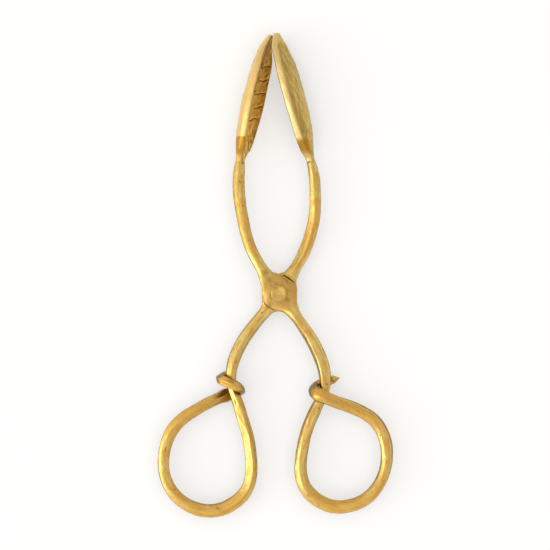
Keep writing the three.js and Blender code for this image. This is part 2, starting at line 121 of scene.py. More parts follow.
REAR_ARM_LINE = [
    (14.71, 45.92, 0, 1.75, 1.9, 2.2),
    (15.4, 42.91, 0, 2.08, 2.15, 2.2),
    (16.04, 38.85, 0, 2.26, 2.25, 2.2),
    (16.38, 33.97, -0.1, 2.3, 2.3, 2.2),
    (16.46, 29.09, -0.3, 2.29, 2.3, 2.2),
    (16.18, 24.21, -0.6, 2.32, 2.3, 2.2),
    (15.26, 19.33, -1, 2.3, 2.3, 2.2),
    (13.9, 14.45, -1.4, 2.38, 2.3, 2.2),
    (11.95, 9.57, -1.9, 2.41, 2.28, 2.2),
    (9.27, 4.7, -2.25, 2.25, 2.15, 2.3),
    (7.69, 2.09, -2.3, 2.4, 2.1, 2.5),
    (6.02, -0.51, -2.1, 3, 1.85, 3.2),
    (5.15, -1.73, -1.8, 4.4, 1.62, 3.6),
    (3.9, -3.76, -1.65, 6, 1.5, 5),
    (1.67, -7.09, -1.65, 6.4, 1.5, 5),
    (-0.84, -10.43, -1.65, 5.6, 1.5, 5),
    (-3.01, -13.27, -2.1, 2.65, 1.85, 3.2),
    (-4.51, -15.31, -2.3, 2.28, 2.1, 2.5),
    (-6.18, -17.26, -2.25, 2.2, 2.15, 2.3),
    (-8.19, -19.7, -1.95, 2.26, 2.25, 2.2),
    (-11.81, -24.58, -1.5, 2.4, 2.35, 2.2),
    (-14.68, -29.45, -1, 2.45, 2.4, 2.2),
    (-16.68, -34.33, -0.5, 2.45, 2.4, 2.2),
    (-17.71, -38.81, -0.1, 2.22, 2.3, 2.2),
    (-17.77, -42.46, 0, 2.02, 2.15, 2.2),
    (-17.49, -45.55, 0, 1.8, 2.1, 2.2),
    (-16.91, -47.67, 0, 1.7, 2.06, 2.2),
    (-15.76, -50.03, 0, 2.16, 2.25, 2.2),
    (-14.71, -53.03, 0, 2.32, 2.35, 2.2),
    (-13.26, -57.91, 0, 2.34, 2.35, 2.2),
    (-11.73, -62.79, 0, 2.36, 2.35, 2.2),
    (-10.5, -67.67, 0, 2.36, 2.35, 2.2),
    (-9.83, -72.55, 0, 2.36, 2.35, 2.2),
    (-9.47, -77.43, 0, 2.36, 2.3, 2.2),
    (-9.8, -81.9, 0, 2.38, 2.3, 2.2),
    (-10.86, -85.56, 0, 2.42, 2.3, 2.2),
    (-12.62, -88.65, 0, 2.56, 2.3, 2.2),
    (-15.04, -91.17, 0, 2.6, 2.3, 2.2),
    (-18.1, -93.32, 0, 2.64, 2.3, 2.2),
    (-21.45, -94.91, 0, 2.66, 2.3, 2.2),
    (-25.62, -95.64, 0, 2.68, 2.3, 2.2),
    (-29.8, -95.4, 0, 2.68, 2.3, 2.2),
    (-33.14, -94.42, 0, 2.64, 2.3, 2.2),
    (-36.48, -92.8, 0, 2.6, 2.3, 2.2),
    (-39.41, -90.52, 0, 2.54, 2.3, 2.2),
    (-41.89, -87.59, 0, 2.5, 2.3, 2.2),
    (-43.78, -84.05, 0, 2.36, 2.3, 2.2),
    (-45.01, -80.07, 0, 2.3, 2.3, 2.2),
    (-45.42, -75.72, 0, 2.28, 2.3, 2.2),
    (-45.04, -71, 0, 2.3, 2.3, 2.2),
    (-43.98, -66.9, 0, 2.34, 2.3, 2.2),
    (-42.14, -63.04, 0, 2.38, 2.3, 2.2),
    (-39.6, -59.86, 0, 2.4, 2.3, 2.2),
    (-36.57, -57.3, -0.1, 2.4, 2.3, 2.2),
    (-33.2, -55.23, -0.3, 2.38, 2.3, 2.2),
    (-29.86, -53.28, -0.8, 2.35, 2.25, 2.2),
    (-26.51, -51.57, -1.6, 2.34, 2.25, 2.2),
    (-23.17, -50.15, -2.8, 2.27, 2.15, 2.2),
    (-20.19, -48.89, -4.1, 2.8, 2, 2.2),
    (-17.32, -47.99, -4.8, 2.45, 1.92, 2.2),
    (-15.1, -47.18, -4, 2.08, 1.7, 2.2),
    (-13.84, -46.37, -0.9, 1.9, 1.42, 2.2),
    (-14.32, -45.47, 2.75, 1.96, 1.6, 2.2),
    (-16.15, -44.33, 4.42, 2.08, 1.76, 2.2),
    (-18.83, -43.11, 4.38, 2.1, 1.76, 2.2),
    (-21.11, -42.3, 2.95, 2.1, 1.76, 2.2),
    (-22, -41.81, -0.2, 2, 1.74, 2.2),
    (-20.78, -41.2, -3.1, 1.85, 1.66, 2.2),
    (-18.77, -40.11, -4.45, 1.7, 1.5, 2.2),
    (-17.04, -39.21, -4.45, 1.25, 1.15, 2.2),
]
FRONT_WRAP_FROM = 51
REAR_WRAP_FROM = 55
# y, x of the section's middle, half depth share, rim thickness, crown of back, hollow of inside
LEFT_JAW_LINE = [
    (97.8, -1.75, 0.11, 1.7, 0, 0),
    (96.58, -2.2, 0.209, 1.8, 0.25, 0.1),
    (94.95, -2.85, 0.341, 2, 0.5, 0.3),
    (92.51, -3.65, 0.527, 2.4, 0.95, 0.7),
    (89.66, -4, 0.725, 2.6, 1.8, 1.4),
    (85.19, -4.65, 0.901, 2.7, 3, 2.3),
    (79.5, -5.99, 0.967, 2.8, 3.15, 2.6),
    (75.44, -6.86, 0.978, 2.8, 3.65, 2.9),
    (71.37, -7.66, 0.978, 2.8, 4.25, 3.1),
    (67.3, -8.52, 0.945, 2.8, 4.1, 3),
    (63.24, -9.46, 0.879, 2.8, 3.85, 2.7),
    (59.17, -10.4, 0.791, 2.7, 3.7, 2.4),
    (55.11, -11.35, 0.681, 2.7, 3.1, 1.8),
    (51.45, -12.3, 0.516, 2.8, 2.15, 0.9),
    (48.81, -13.45, 0.286, 2.8, 1, 0.2),
    (47.18, -14.02, 0.209, 2.9, 0.2, 0),
    (45.88, -14.2, 0.187, 2.9, 0.1, 0),
]
RIGHT_JAW_LINE = [
    (98.53, 0.48, 0.11, 1.95, 0.1, 0),
    (97.19, 0.6, 0.209, 2.3, 0.7, 0.1),
    (95.36, 0.55, 0.33, 2.4, 1.8, 0.3),
    (92.92, 0.75, 0.516, 2.5, 2.95, 0.8),
    (89.66, 2, 0.725, 2.6, 3.1, 1.4),
    (85.19, 3.35, 0.901, 2.7, 3.5, 2.3),
    (79.5, 4.85, 0.978, 2.8, 3.9, 2.8),
    (75.44, 5.9, 1, 2.8, 4, 3.1),
    (71.37, 7, 1, 2.7, 4.2, 3.3),
    (67.3, 8.05, 0.967, 2.7, 4.15, 3.2),
    (63.24, 9.2, 0.901, 2.7, 3.8, 2.9),
    (59.17, 10.25, 0.791, 2.9, 3.4, 2.3),
    (55.11, 11.3, 0.659, 3, 2.6, 1.6),
    (51.86, 12.22, 0.473, 3.1, 1.85, 0.8),
    (49.21, 13.28, 0.297, 3.15, 0.8, 0.2),
    (47.67, 14.1, 0.209, 2.9, 0.2, 0),
    (46.57, 14.52, 0.187, 2.9, 0.1, 0),
]

# ------------------------------------------------------------------ small numeric helpers
def smooth(x, a, b):
    t = np.clip((np.asarray(x, float) - a) / (b - a), 0, 1)
    return t * t * (3 - 2 * t)


class Line:
    """A smooth random line through seeded knots, about -1 to 1."""

    def __init__(self, rng, length, step):
        self.n = max(4, int(length / step) + 4)
        self.step = step
        self.k = rng.uniform(-1, 1, self.n + 3)

    def __call__(self, s):
        x = np.clip(np.asarray(s, float) / self.step, 0, self.n - 1e-6)
        i = x.astype(int)
        w = x - i
        p0, p1, p2, p3 = (self.k[np.clip(i + j, 0, len(self.k) - 1)] for j in range(4))
        return (
            p0 * (1 - w) ** 3
            + p1 * (3 * w**3 - 6 * w**2 + 4)
            + p2 * (-3 * w**3 + 3 * w**2 + 3 * w + 1)
            + p3 * w**3
        ) / 6 * 1.6


def lattice(rng, size=64):
    return rng.uniform(-1, 1, (size, size, size)).astype(np.float32)


GRID = lattice(np.random.default_rng(11))


def noise3(p):
    """Value noise at points p (n, 3), smooth, about -1 to 1."""
    q = np.floor(p).astype(int)
    f = p - q
    f = f * f * (3 - 2 * f)
    n = GRID.shape[0]
    q0, q1 = q % n, (q + 1) % n
    out = 0
    for dx in (0, 1):
        for dy in (0, 1):
            for dz in (0, 1):
                w = (f[:, 0] if dx else 1 - f[:, 0]) * (f[:, 1] if dy else 1 - f[:, 1]) * (f[:, 2] if dz else 1 - f[:, 2])
                i = q1 if dx else q0
                j = q1 if dy else q0
                k = q1 if dz else q0
                out = out + w * GRID[i[:, 0], j[:, 1], k[:, 2]]
    return out


# ------------------------------------------------------------------ centre lines
def centripetal(points):
    """Coefficients of the centripetal Catmull-Rom segments through points."""
    p = np.asarray(points, float)
    first, last = 2 * p[0] - p[1], 2 * p[-1] - p[-2]
    ext = np.vstack([first, p, last])
    segs = []
    for i in range(len(p) - 1):
        a, b, c, d = ext[i], ext[i + 1], ext[i + 2], ext[i + 3]
        d0 = np.sum((a - b) ** 2) ** 0.25
        d1 = np.sum((b - c) ** 2) ** 0.25
        d2 = np.sum((c - d) ** 2) ** 0.25
        t1 = ((b - a) / d0 - (c - a) / (d0 + d1) + (c - b) / d1) * d1
        t2 = ((c - b) / d1 - (d - b) / (d1 + d2) + (d - c) / d2) * d1
        segs.append((b, t1, -3 * b + 3 * c - 2 * t1 - t2, 2 * b - 2 * c + t1 + t2))
    return segs


def along(segs, t):
    t = np.clip(t, 0, len(segs) - 1e-9)
    i = t.astype(int)
    w = (t - i)[:, None]
    co = np.array(segs)[i]
    pos = co[:, 0] + co[:, 1] * w + co[:, 2] * w**2 + co[:, 3] * w**3
    tan = co[:, 1] + 2 * co[:, 2] * w + 3 * co[:, 3] * w**2
    return pos, tan / np.linalg.norm(tan, axis=1)[:, None]


def bar_frames(line, wrap_from, step):
    """Evenly spaced stations: arc length, centre, tangent, side, lift, half width, half thickness, squareness."""
    table = np.array(line, float)
    segs = centripetal(table[:, :3])
    fine = np.linspace(0, len(segs), len(segs) * 60 + 1)
    pos, _ = along(segs, fine)
    arc = np.concatenate([[0], np.cumsum(np.linalg.norm(np.diff(pos, axis=0), axis=1))])
    total = arc[-1]
    n = int(total / step)
    s = np.linspace(0, total, n + 1)
    t = np.interp(s, arc, fine)
    centre, tangent = along(segs, t)
    side = np.zeros_like(centre)
    up = np.array([0, 0, 1.0])
    for i in range(len(t)):
        if t[i] <= wrap_from or i == 0:
            v = np.cross(up, tangent[i])
        else:
            a, b = tangent[i - 1], tangent[i]
            v = side[i - 1]
            axis = np.cross(a, b)
            c = float(a @ b)
            v = v * c + np.cross(axis, v) + axis * (axis @ v) / (1 + c)
            v = v - b * (v @ b)
        side[i] = v / np.linalg.norm(v)
    lift = np.cross(tangent, side)
    size = np.array([np.interp(t, np.arange(len(table)), table[:, c]) for c in (3, 4, 5)]).T
    # round off the interpolated sizes a little
    k = np.hanning(9); k /= k.sum()
    padded = np.pad(size, ((4, 4), (0, 0)), mode="edge")
    size = np.stack([np.convolve(padded[:, c], k, "valid") for c in range(3)], 1)
    return {"s": s, "t": t, "c": centre, "tan": tangent, "side": side, "lift": lift, "size": size, "length": total}


# ------------------------------------------------------------------ meshes
def make_mesh(name, verts_mm, faces, attrs, smooth_faces=True):
    me = bpy.data.meshes.new(name)
    me.from_pydata((np.asarray(verts_mm) / 1000.0).tolist(), [], faces)
    me.update()
    for key, value in attrs.items():
        value = np.asarray(value, np.float32)
        kind = "FLOAT_VECTOR" if value.ndim == 2 else "FLOAT"
        a = me.attributes.new(key, kind, "POINT")
        a.data.foreach_set("vector" if value.ndim == 2 else "value", value.ravel())
    me.polygons.foreach_set("use_smooth", [smooth_faces] * len(me.polygons))
    ob = bpy.data.objects.new(name, me)
    bpy.context.scene.collection.objects.link(ob)
    return ob


def rings_to_faces(n_rings, n, cap_start=True, cap_end=True):
    faces = []
    for i in range(n_rings - 1):
        a, b = i * n, (i + 1) * n
        for k in range(n):
            k2 = (k + 1) % n
            faces.append((a + k, a + k2, b + k2, b + k))
    if cap_start:
        faces.append(tuple(range(n - 1, -1, -1)))
    if cap_end:
        faces.append(tuple((n_rings - 1) * n + k for k in range(n)))
    return faces


def outward(ob):
    """Turns the faces out, if they face in."""
    import bmesh
    bm = bmesh.new()
    bm.from_mesh(ob.data)
    if bm.calc_volume(signed=True) < 0:
        bmesh.ops.reverse_faces(bm, faces=bm.faces)
    bm.to_mesh(ob.data)
    bm.free()
    ob.data.update()


AROUND = 56
STEP = 0.36


def facet_radius(phi, s, rng, length, count, phase, sharp, depth):
    """Radius factor of a bar hammered to soft facets that wander along it. phi (n, m), s (n, 1)."""
    total = 0
    for i in range(count):
        wander = Line(rng, length, 17)
        press = Line(rng, length, 7.5)
        slow = Line(rng, length, 26)
        angle = phase + 2 * np.pi * i / count + 0.26 * wander(s)
        d = 1.0 - depth * (0.55 + 0.55 * press(s) + 0.45 * slow(s))
        total = total + (np.maximum(0, np.cos(phi - angle)) / d) ** sharp
    return total ** (-1.0 / sharp)


def bar(name, line, wrap_from, seed, count, phase):
    f = bar_frames(line, wrap_from, STEP)
    rng = np.random.default_rng(seed)
    n = len(f["s"])
    phi = np.tile(np.linspace(0, 2 * np.pi, AROUND, endpoint=False), (n, 1))
    s = f["s"][:, None]
    L = f["length"]
    a, b, q = (f["size"][:, c][:, None] for c in range(3))
    # rounded-square radius, then the hammered facets, which fade on the flattened boss
    base = (np.abs(np.cos(phi)) ** q + np.abs(np.sin(phi)) ** q) ** (-1 / q)
    facets = facet_radius(phi, s, rng, L, count, phase, 12, 0.045)
    pad = smooth(q, 2.3, 4.0)
    full = 1.02 / np.mean(facets)
    r = base * (1 + (facets * full - 1) * (1 - 0.88 * pad))
    # slow dents
    for k in range(0, 4):
        amp = 0.013 / (1 + 0.3 * k)
        r = r * (1 + amp * (Line(rng, L, 6.0)(s) * np.cos(k * phi) + Line(rng, L, 6.0)(s) * np.sin(k * phi)))
    x, y = a * r * np.cos(phi), b * r * np.sin(phi)
    # the flow coordinate: along, across, up, all in mm, without a seam
    flow = np.stack([np.broadcast_to(s, x.shape), x, y], -1)
    # fine forging texture: shallow pocks and lengthwise scratches
    pts = flow.reshape(-1, 3)
    fine = 0.045 * noise3(pts * [0.45, 0.9, 0.9] + seed) + 0.020 * noise3(pts * [1.3, 2.6, 2.6] + 7.3) + 0.012 * noise3(pts * [0.5, 5.0, 5.0] + 2.1)
    pits = noise3(pts * [0.7, 1.1, 1.1] + 31.7 + seed)
    pit = smooth(pits, 0.70, 0.92)
    scale = 1 + ((fine - 0.10 * pit) / np.maximum(0.8, np.hypot(x, y).ravel()))
    scale = scale.reshape(x.shape)
    fadeends = 1 - 0 * pad
    x, y = x * (1 + (scale - 1) * (1 - 0.5 * pad)), y * (1 + (scale - 1) * (1 - 0.5 * pad))
    pos = f["c"][:, None, :] + x[..., None] * f["side"][:, None, :] + y[..., None] * f["lift"][:, None, :]
    # domed ends
    def dome(i_end, direction, bulge):
        m = 4
        rings, flows = [], []
        for j in range(1, m + 1):
            w = math.cos(j / m * math.pi / 2 * 0.86)
            h = math.sin(j / m * math.pi / 2 * 0.86)
            c = f["c"][i_end] + direction * f["tan"][i_end] * bulge * h
            rings.append(c + (pos[i_end] - f["c"][i_end]) * w)
            flows.append(flow[i_end] * [1, w, w])
        return rings, flows
    b_end = float(b[-1, 0])
    re, fe = dome(n - 1, 1.0, b_end)
    rs, fs_ = [], []
    for w, h in ((0.90, 0.62), (0.93, 0.22), (0.985, 0.04)):
        c = f["c"][0] - f["tan"][0] * h
        rs.append(c + (pos[0] - f["c"][0]) * w)
        fs_.append(flow[0] * [1, w, w])
    allpos = np.concatenate([np.array(rs), pos, np.array(re)])
    allflow = np.concatenate([np.array(fs_), flow, np.array(fe)])
    allpit = np.concatenate([np.zeros((3, AROUND)), pit.reshape(x.shape), np.zeros((len(re), AROUND))])
    own = np.concatenate([np.repeat(f["c"][:1], 3, 0), f["c"], np.repeat(f["c"][-1:], len(re), 0)])
    own = np.repeat(own[:, None, :], AROUND, 1).reshape(-1, 3)
    verts = allpos.reshape(-1, 3)
    faces = rings_to_faces(len(allpos), AROUND)
    info = {"f": f, "verts": verts, "flow": allflow.reshape(-1, 3), "pit": allpit.ravel(), "faces": faces,
            "s": allflow.reshape(-1, 3)[:, 0], "own": own, "name": name}
    return info


def crown_pads(info, sign):
    """Raises the outer face of the flattened boss towards the rivet, and settles the rivet into it."""
    v = info["verts"]
    d = np.hypot(v[:, 0] - PIVOT[0], v[:, 1] - PIVOT[1])
    outer = smooth(sign * v[:, 2], 1.9, 2.9)
    v[:, 2] += sign * outer * 0.40 * (1 - smooth(d, 3.2, 6.8))


def crease_of(info, others, own_gap=9.0):
    """How deep each vertex lies in a crease with another strand: 1 touching, 0 clear. The colour paints shade there."""
    v, s = info["verts"], info["s"]
    out = np.zeros(len(v))
    cs, rs, ss, own = [], [], [], []
    for o in others:
        f = o["f"]
        cs.append(f["c"]); rs.append(0.5 * (f["size"][:, 0] + f["size"][:, 1])); ss.append(f["s"])
        own.append(np.full(len(f["s"]), o["name"] == info["name"]))
    c, r, sa, own = np.concatenate(cs), np.concatenate(rs), np.concatenate(ss), np.concatenate(own)
    for i in range(0, len(v), 2000):
        block, sb = v[i:i + 2000], s[i:i + 2000]
        lo, hi = block.min(0) - 7, block.max(0) + 7
        near = np.all((c > lo) & (c < hi), 1)
        if not near.any():
            continue
        way = c[near][None] - block[:, None, :]
        far = np.linalg.norm(way, axis=2)
        d = far - r[near][None]
        skip = own[near][None] & (np.abs(sb[:, None] - sa[near][None]) < own_gap)
        d[skip] = 99
        k = d.argmin(1)
        rows = np.arange(len(block))
        n = block - info["own"][i:i + 2000]
        n /= np.linalg.norm(n, axis=1)[:, None]
        facing = (n * way[rows, k]).sum(1) / np.maximum(far[rows, k], 1e-6)
        out[i:i + 2000] = np.exp(-np.maximum(d[rows, k], 0) / 0.55) * smooth(facing, 0.05, 0.75)
    return out


def pad_seam_shadow(info, other, sign):
    """Painted shadow in the seam where this arm runs in under the edge of the other arm's pad. sign: this arm above (1)
    or below.
    """
    v = info["verts"]
    f = other["f"]
    out = np.zeros(len(v))
    near = np.hypot(v[:, 0] - PIVOT[0], v[:, 1] - PIVOT[1]) < 14
    open_side = sign * v[:, 2] < 0.4          # the faces turned to the other arm
    idx = np.where(near & open_side)[0]
    wide = (f["size"][:, 2] > 3.4)
    c, t, a = f["c"][wide][:, :2], f["tan"][wide][:, :2], f["size"][wide, 0]
    for i in idx:
        w = v[i, :2] - c
        al = (w * t).sum(1)
        ac = np.abs(w[:, 0] * t[:, 1] - w[:, 1] * t[:, 0])
        k = np.abs(al).argmin()
        if abs(al[k]) > 0.5:
            continue
        gap = ac[k] - a[k]
        wide_seam = 0.52 if v[i, 1] > PIVOT[1] else 0.30
        out[i] = math.exp(-(max(gap - 0.2, 0) / wide_seam) ** 2) if gap > -0.6 else 1.0
    return out


def drill(ob, radius):
    """Cuts the rivet's hole through a boss."""
    ring = 64
    ang = np.linspace(0, 2 * np.pi, ring, endpoint=False)
    px, py = PIVOT + OFFSET[:2]
    vs = [(px + radius * math.cos(t), py + radius * math.sin(t), z) for z in (-10.0, 30.0) for t in ang]
    fs = [(k, (k + 1) % ring, ring + (k + 1) % ring, ring + k) for k in range(ring)]
    fs += [tuple(range(ring - 1, -1, -1)), tuple(range(ring, 2 * ring))]
    cutter = make_mesh("cutter", vs, fs, {})
    outward(cutter)
    m = ob.modifiers.new("hole", "BOOLEAN")
    m.operation, m.solver, m.object = "DIFFERENCE", "EXACT", cutter
    dg = bpy.context.evaluated_depsgraph_get()
    new = bpy.data.meshes.new_from_object(ob.evaluated_get(dg))
    ob.modifiers.clear()
    old = ob.data
    ob.data = new
    new.name = ob.name
    bpy.data.meshes.remove(old)
    bpy.data.objects.remove(cutter, do_unlink=True)


def add_up(ob):
    me = ob.data
    n = np.zeros(len(me.vertices) * 3, np.float32)
    me.vertices.foreach_get("normal", n)
    a = me.attributes.get("up") or me.attributes.new("up", "FLOAT", "POINT")
    a.data.foreach_set("value", n.reshape(-1, 3)[:, 2].copy())


# ------------------------------------------------------------------ leaf jaws
NOTCHES = (86.2, 80.2, 74.9, 69.5, 64.7)


def jaw(name, line, outward_sign, seed, neck_top):
    t = np.array(line, float)[::-1]           # neck to tip
    y0, y1 = t[0, 0] - 0.35, t[-1, 0] - 0.40
    rows = int((y1 - y0) / 0.24)
    y = np.linspace(y0, y1, rows + 1)
    yy = np.clip(y, t[0, 0], None)

    def column(c):
        # monotone cubic through the table, so that the outline has no corners
        xs, vs = t[:, 0], t[:, c]
        h = np.diff(xs); d = np.diff(vs) / h
        m = np.zeros(len(xs))
        m[0], m[-1] = d[0], d[-1]
        for i in range(1, len(xs) - 1):
            if d[i - 1] * d[i] > 0:
                w1, w2 = 2 * h[i] + h[i - 1], h[i] + 2 * h[i - 1]
                m[i] = (w1 + w2) / (w1 / d[i - 1] + w2 / d[i])
        i = np.clip(np.searchsorted(xs, yy) - 1, 0, len(xs) - 2)
        w = (yy - xs[i]) / h[i]
        return ((1 + 2 * w) * (1 - w) ** 2 * vs[i] + w * (1 - w) ** 2 * h[i] * m[i]
                + w * w * (3 - 2 * w) * vs[i + 1] + w * w * (w - 1) * h[i] * m[i + 1])

    cx, half, rim, crown, hollow = (column(c) for c in (1, 2, 3, 4, 5))
    H = JAW_HALF_DEPTH * half
    eps = np.minimum(0.34 / np.maximum(H, 0.3), 0.22)
    nb, nr = 54, 10
    rng = np.random.default_rng(seed)
    share = (y - t[1, 0]) / (t[-1, 0] - t[1, 0])       # 0 at the neck, 1 at the tip

    V, U, ZONE = [], [], []
    vb = np.sin(np.linspace(-np.pi / 2, np.pi / 2, nb) * 0.995)   # crowded at the rims
    # back, lower rim to upper rim
    for v in vb:
        V.append((v * (1 - eps))); U.append(rim / 2 + crown * (1 - (v * (1 - eps)) ** 2)); ZONE.append(0)
    # upper rim, back to inside
    edge_b = rim / 2 + crown * (1 - (1 - eps) ** 2)
    edge_i = -rim / 2 + hollow * (1 - (1 - eps) ** 2)
    qs = np.linspace(1, -1, nr + 2)[1:-1]
    for q in qs:
        V.append(1 - eps * abs(q) ** 3.2); U.append((edge_b + edge_i) / 2 + q * (edge_b - edge_i) / 2); ZONE.append(1)
    # inside, upper rim to lower rim
    for v in vb[::-1]:
        V.append((v * (1 - eps))); U.append(-rim / 2 + hollow * (1 - (v * (1 - eps)) ** 2)); ZONE.append(2)
    for q in qs[::-1]:
        V.append(-(1 - eps * abs(q) ** 3.2)); U.append((edge_b + edge_i) / 2 + q * (edge_b - edge_i) / 2); ZONE.append(1)
    V, U = np.array(V).T, np.array(U).T              # rows, points
    zone = np.tile(np.array(ZONE), (len(y), 1))
    W = H[:, None] * V
    Y = np.tile(y[:, None], (1, V.shape[1]))
    S = np.tile(share[:, None], (1, V.shape[1]))

    blade = smooth(S, 0.06, 0.22) * (1 - 0.55 * smooth(S, 0.94, 1.0))
    inner_face = (zone == 2) & (np.abs(V) < 0.985)
    outer_face = (zone == 0) & (np.abs(V) < 0.97)
    # veins on the back: fine, uneven, nearly along the leaf, spreading towards the rim
    flank = np.abs(V)
    reach = H[:, None] * (1 - V)              # mm below the top rim
    reach2 = H[:, None] * (1 + V)             # mm above the lower rim
    n3 = lambda a, b, c: noise3(np.stack([np.ravel(a), np.ravel(b), np.full(Y.size, c)], 1)).reshape(Y.shape)
    wob = n3(Y * 0.16, W * 0.30, 3.0 + seed)
    shear = Y - 26.0 * flank
    ridge = 1 - 2.2 * np.abs(n3(shear * 0.16 + 0.6 * wob, flank * 6.0, 5.0 + seed))
    ridge2 = 1 - 2.2 * np.abs(n3(shear * 0.30, flank * 12.0 + wob, 15.0 + seed))
    side_v = np.sin((shear + 2.4 * wob) * 2 * np.pi / 6.3)
    fadein = smooth(flank, 0.02, 0.18) * (1 - smooth(flank, 0.88, 0.97))
    strong = 0.12 + 0.88 * smooth(S, 0.36, 0.58)
    back = (0.20 * ridge + 0.13 * ridge2 + 0.08 * side_v) * fadein * strong * blade
    back += 0.16 * np.exp(-((V / 0.07) ** 2)) * blade
    back += 0.05 * n3(Y * 0.9, W * 0.9, 9.0)
    vein = np.clip(-ridge * 0.6 - ridge2 * 0.5, 0, 1) * fadein * strong * blade
    # inside: grip notches cut slantwise into both rims, each a step with a sharp lower lip
    notch = np.zeros(Y.shape)
    lip = np.zeros(Y.shape)
    cut = np.random.default_rng(seed + 40)
    for y_n in NOTCHES:
        tilt, bend = cut.uniform(0.14, 0.30), cut.uniform(-0.35, 0.35)
        start, end = cut.uniform(0.2, 1.6), cut.uniform(5.8, 8.6)
        for r_ in (reach, reach2):
            at = Y - y_n + tilt * r_ - bend * np.sin(r_ * 1.3)
            window = smooth(r_, start, start + 0.8) * (1 - smooth(r_, end - 1.0, end))
            notch = np.maximum(notch, np.exp(-((at / 0.26) ** 2)) * window)
            lip += 0.14 * np.exp(-(((at - 1.1) / 0.9) ** 2)) * window
    inside_d = (-0.42 * notch + lip) * blade
    inside_d -= 0.22 * np.exp(-((V / 0.06) ** 2)) * blade
    inside_d += (0.09 * n3(Y * 0.55, W * 0.7, 23.0) + 0.05 * n3(Y * 1.3, W * 1.3, 29.0)) * (1 - smooth(flank, 0.92, 0.99))
    rough_rim = 0.05 * noise3(np.stack([Y.ravel() * 0.5, U.ravel() * 1.2, np.full(Y.size, 41.0 + seed)], 1)).reshape(Y.shape)
    U = U + np.where(outer_face, back, 0) + np.where(inner_face, -inside_d * 1.0, 0)
    W = W * (1 + np.where(zone == 1, 0.012, 0.0) * 0) + np.sign(V) * np.where(zone == 1, rough_rim, 0) * blade

    cos, sin = math.cos(JAW_TWIST), math.sin(JAW_TWIST)
    o = outward_sign
    X = cx[:, None] + o * U * cos - W * sin
    Z = o * U * sin + W * cos
    # edge waviness of a cast and filed leaf
    pos = np.stack([X, Y, Z], -1)
    m = V.shape[1]
    # dome the tip
    rings = [pos[i] for i in range(len(y))]
    tip = pos[-1]; mid = tip.mean(0)
    for j in (1, 2, 3):
        w = math.cos(j / 3 * math.pi / 2 * 0.80); h = math.sin(j / 3 * math.pi / 2 * 0.85)
        rings.append(mid + (tip - mid) * [w, 1, w] + np.array([0, 0.44 * h, 0]))
    extra = 3
    pad = lambda q: np.concatenate([q, np.repeat(q[-1:], extra, 0)]).ravel()
    verts = np.array(rings).reshape(-1, 3)
    faces = rings_to_faces(len(rings), m)
    flow = np.stack([pad(Y), pad(W), pad(U)], 1)
    zones = pad(zone)
    # painted shade, carried in the crease attribute: dark in the grip notches inside and between the veins on the back
    groove_shade = np.where(inner_face, notch * blade, 0) + np.where(outer_face, 0.75 * vein, 0)
    # the fire-stained neck stops at a sharp line
    stain = (1 - smooth(Y + 0.25 * wob, neck_top - 0.25, neck_top + 0.25)) * (1 - 0.30 * (1 - smooth(Y, 49.0, 51.0)))
    stain = stain * np.where(zone == 2, smooth(V, 0.93, 0.99), 1.0)
    patch = smooth(Y, 47.5, 51.5) * (1 - smooth(Y + 1.5 * wob, 54.5, 57.0))
    stain = stain if outward_sign < 0 else np.maximum(patch * smooth(V, 0.35, 0.85), 0.30 * stain)
    # the hollow closes before the tip, where rim and back run together
    closed = smooth(Y, 93.6, 95.4)
    attrs = {
        "flow": flow,
        "inside": (zones == 2).astype(float) * pad(smooth(1 - np.abs(V), 0.02, 0.06) * (1 - closed)),
        "rimness": pad(np.maximum(np.where(zone == 1, 1.0, smooth(np.abs(V), 0.93, 0.985)), 0.8 * closed)),
        "neck": pad(stain),
        "root": pad(1 - smooth(Y, 52.0, 64.0)),
        "back": (zones == 0).astype(float),
        "crease": pad(groove_shade * (1 - closed)),
        "pit": np.zeros(len(verts)),
    }
    ob = make_mesh(name, verts + OFFSET, faces, attrs)
    outward(ob)
    add_up(ob)
    return ob


